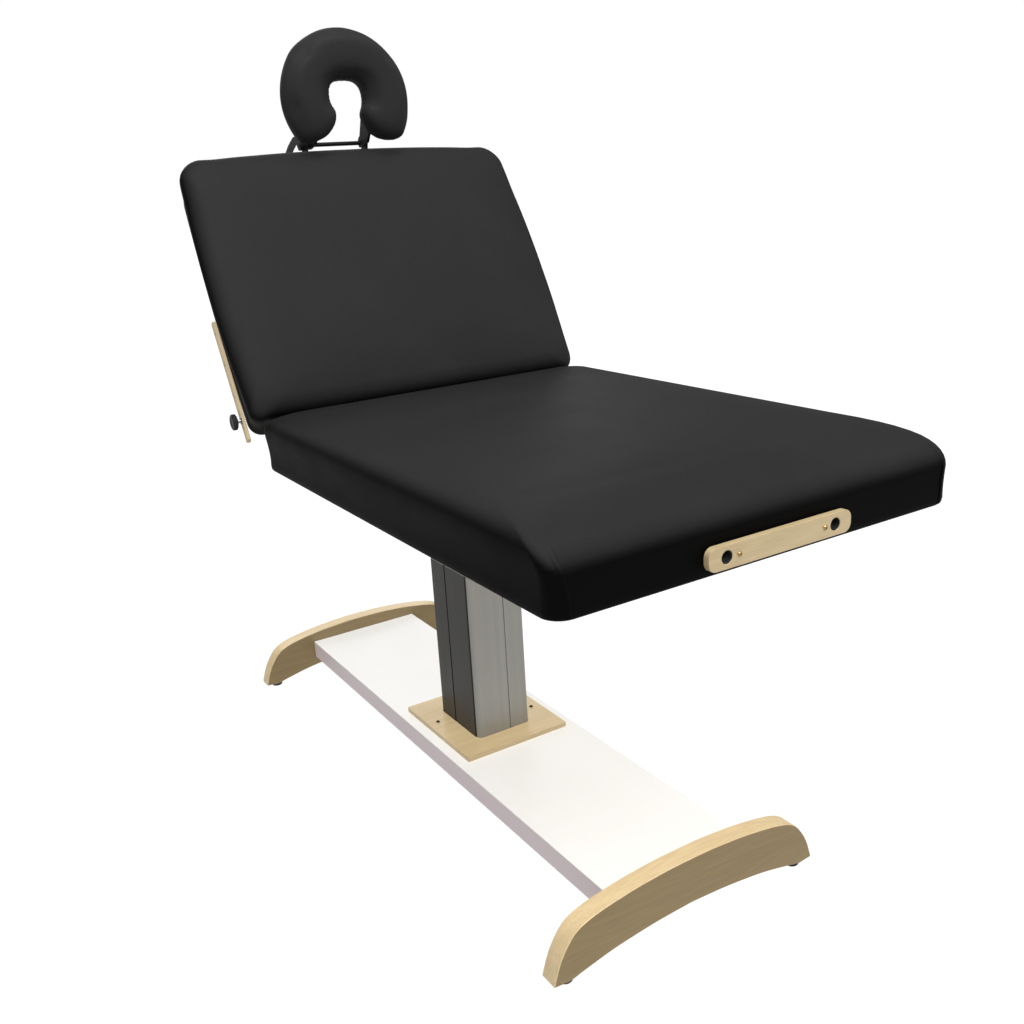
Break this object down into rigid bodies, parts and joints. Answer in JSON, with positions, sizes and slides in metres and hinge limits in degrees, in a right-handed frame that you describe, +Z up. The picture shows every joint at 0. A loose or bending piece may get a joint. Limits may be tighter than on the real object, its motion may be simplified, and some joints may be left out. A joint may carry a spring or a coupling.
{
  "type": "electric massage table",
  "caption": "Padded massage table on one telescopic lifting column, with a hinged tilting back section, a horseshoe face cradle and a long floor base with arched wooden feet.",
  "frame": {"origin": "centre of the overall box, at floor level", "axes": "+X to the foot end, +Z up, -Y the side nearest the camera"},
  "size_m": [1.6326, 0.855, 1.6672],
  "materials": {
    "maple": "clear satin lacquer",
    "white_laminate": "white laminate on board",
    "aluminium": "brushed and anodised",
    "black_vinyl": "smooth satin upholstery vinyl over foam",
    "frame_timber": "plain timber",
    "black_steel": "black powder coat",
    "steel": "zinc plated",
    "brass": "satin",
    "black_plastic": "fine grain"
  },
  "bodies": {
    "base": {"base_board": "white_laminate", "arched_foot_foot": "maple", "arched_foot_head": "maple", "glide_foot_far": "black_plastic", "glide_foot_near": "black_plastic", "glide_head_far": "black_plastic", "glide_head_near": "black_plastic", "column_cover_plate": "maple", "cover_screw_far": "black_steel", "cover_screw_near": "black_steel", "control_box": "black_plastic", "column_outer": "aluminium", "column_guide_ring": "black_plastic", "lift_spindle": "steel"},
    "lift": {"column_inner": "aluminium", "lift_push_tube": "steel", "column_top_plate": "black_steel", "column_bearer_foot": "frame_timber", "column_bearer_head": "frame_timber", "seat_rail_far": "frame_timber", "seat_rail_near": "frame_timber", "seat_rail_foot": "frame_timber", "seat_rail_hinge": "frame_timber", "seat_deck": "frame_timber", "seat_pad": "black_vinyl", "outlet_plate_foot": "maple", "outlet_screw_far": "brass", "outlet_screw_near": "brass", "hinge_leaf_seat_far": "steel", "hinge_leaf_seat_near": "steel", "strut_bracket_seat": "black_steel", "strut_pin_seat": "steel"},
    "back": {"back_pad": "black_vinyl", "back_rail_far": "frame_timber", "back_rail_near": "frame_timber", "back_rail_head": "frame_timber", "back_rail_hinge": "frame_timber", "back_deck": "frame_timber", "back_cross_rail": "frame_timber", "outlet_plate_head": "maple", "side_strip_near": "maple", "side_strip_far": "maple", "hinge_leaf_back_far": "steel", "hinge_leaf_back_near": "steel", "hinge_pin_far": "steel", "hinge_pin_near": "steel", "strut_bracket_back": "black_steel", "strut_pin_back": "steel"},
    "strut_lower": {"strut_tube": "black_steel"},
    "strut_upper": {"strut_rod": "steel"},
    "knob_near": {"side_knob_near": "black_plastic"},
    "knob_far": {"side_knob_far": "black_plastic"},
    "cradle": {"cradle_yoke": "black_steel", "cradle_tilt_rod": "steel"},
    "headrest": {"cradle_platform": "black_plastic", "face_cushion": "black_vinyl"},
    "cam_lever": {"cradle_cam_lever": "black_plastic"}
  },
  "joints": [
    {"name": "lift_column", "type": "slide", "parent": "base", "child": "lift", "axis": [0, 0, 1], "range_m": [-0.24, 0]},
    {"name": "back_tilt", "type": "hinge", "parent": "lift", "child": "back", "pos_m": [-0.265, 0, 0.845], "axis": [0, 1, 0], "range_deg": [-60, 10]},
    {"name": "strut_swing", "type": "hinge", "parent": "lift", "child": "strut_lower", "pos_m": [-0.27, 0, 0.56], "axis": [0, 1, 0], "range_deg": [-30, 5]},
    {"name": "strut_slide", "type": "slide", "parent": "strut_lower", "child": "strut_upper", "axis": [-0.4445, 0, 0.8958], "range_m": [-0.1886, 0.0315]},
    {"name": "knob_near_turn", "type": "hinge", "parent": "back", "child": "knob_near", "pos_m": [-0.35562, -0.4062, 0.84695], "axis": [0, -1, 0], "range_deg": [-180, 180]},
    {"name": "knob_far_turn", "type": "hinge", "parent": "back", "child": "knob_far", "pos_m": [-0.35562, 0.4062, 0.84695], "axis": [0, 1, 0], "range_deg": [-180, 180]},
    {"name": "cradle_slide", "type": "slide", "parent": "back", "child": "cradle", "axis": [-0.5, 0, 0.866], "range_m": [0, 0.09]},
    {"name": "cradle_tilt", "type": "hinge", "parent": "cradle", "child": "headrest", "pos_m": [-0.63704, 0, 1.4154], "axis": [0, 1, 0], "range_deg": [-40, 5]},
    {"name": "cam_lever_turn", "type": "hinge", "parent": "cradle", "child": "cam_lever", "pos_m": [-0.63704, 0, 1.4154], "axis": [0, 1, 0], "range_deg": [0, 70]}
  ],
  "couplings": [
    {"joint": "strut_swing", "follows": "back_tilt", "ratio": 0.5},
    {"joint": "strut_slide", "follows": "back_tilt", "m_per_rad": 0.18}
  ]
}
